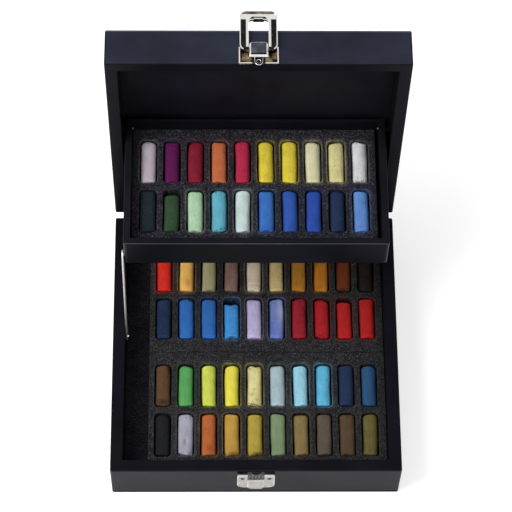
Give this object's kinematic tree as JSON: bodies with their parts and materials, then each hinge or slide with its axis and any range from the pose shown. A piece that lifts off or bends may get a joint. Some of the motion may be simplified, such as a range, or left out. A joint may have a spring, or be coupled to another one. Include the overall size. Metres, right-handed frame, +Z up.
{
  "type": "hinged pastel box with cantilever tray",
  "caption": "Black wooden pastel box, open, with a hinged lid, a foam-lined tray that rises and moves back on a steel arm, slotted foam pads of pastel sticks and a lever latch.",
  "frame": {"origin": "centre of the base's underside, on the surface that the box stands on", "axes": "+X towards the right end seen from the front, +Y from the latch side to the hinge side, +Z up; the box stands open"},
  "size_m": [0.25, 0.3095, 0.3039],
  "materials": {
    "lacquered_wood": "black satin lacquer over wood, slightly bluish, with rubbed edges",
    "foam": "charcoal closed-cell foam dusted with pigment",
    "pastel": "dry chalk pigment in sixty different colours",
    "steel": "drawn steel strip and turned steel pins",
    "hinge_metal": "nickel-plated steel, dull",
    "bright_nickel": "bright nickel plate",
    "satin_nickel": "worn satin nickel plate, slightly warm"
  },
  "bodies": {
    "base": {"base_front": "lacquered_wood", "base_back": "lacquered_wood", "base_left": "lacquered_wood", "base_right": "lacquered_wood", "base_floor": "lacquered_wood", "base_underlay": "foam", "front_pad": "foam", "rear_pad": "foam", "front_pad_sticks_front": "pastel", "front_pad_sticks_back": "pastel", "rear_pad_sticks_front": "pastel", "rear_pad_sticks_back": "pastel", "arm_pin": "steel", "hinge_base_leaf_left": "hinge_metal", "hinge_base_leaf_right": "hinge_metal", "hinge_pins": "hinge_metal", "hinge_base_screws": "hinge_metal", "catch_plate": "satin_nickel", "catch_keeper": "satin_nickel", "catch_screws": "satin_nickel"},
    "lid": {"lid_front": "lacquered_wood", "lid_back": "lacquered_wood", "lid_left": "lacquered_wood", "lid_right": "lacquered_wood", "lid_panel": "lacquered_wood", "tray_pivot_screw_left": "steel", "tray_pivot_screw_right": "steel", "tray_spacer_left": "steel", "tray_spacer_right": "steel", "hinge_lid_leaf_left": "hinge_metal", "hinge_lid_leaf_right": "hinge_metal", "hinge_lid_screws": "hinge_metal", "latch_plate": "bright_nickel", "latch_bridge": "bright_nickel", "latch_tongue": "bright_nickel", "latch_pin": "bright_nickel", "latch_rivets": "bright_nickel"},
    "tray": {"tray_front": "lacquered_wood", "tray_back": "lacquered_wood", "tray_left": "lacquered_wood", "tray_right": "lacquered_wood", "tray_bottom": "lacquered_wood", "tray_underlay": "foam", "tray_pad": "foam", "tray_sticks_front": "pastel", "tray_sticks_back": "pastel", "arm_stud": "steel"},
    "support_arm": {"support_arm": "steel"},
    "latch_lever": {"latch_lever": "bright_nickel"}
  },
  "joints": [
    {"name": "lid_hinge", "type": "hinge", "parent": "base", "child": "lid", "pos_m": [0, 0.1252, 0.051], "axis": [1, 0, 0], "range_deg": [0, 91.8]},
    {"name": "tray_pivot", "type": "hinge", "parent": "lid", "child": "tray", "pos_m": [0, 0.14761, 0.16875], "axis": [1, 0, 0], "range_deg": [-91.8, 0]},
    {"name": "arm_pivot", "type": "hinge", "parent": "base", "child": "support_arm", "pos_m": [-0.1134, 0.01235, 0.0345], "axis": [1, 0, 0], "range_deg": [0, 91.8]},
    {"name": "latch_swing", "type": "hinge", "parent": "lid", "child": "latch_lever", "pos_m": [0, 0.14577, 0.30108], "axis": [1, 0, 0], "range_deg": [0, 180]}
  ],
  "couplings": [
    {"joint": "tray_pivot", "follows": "lid_hinge", "ratio": -1},
    {"joint": "arm_pivot", "follows": "lid_hinge", "ratio": 1}
  ]
}
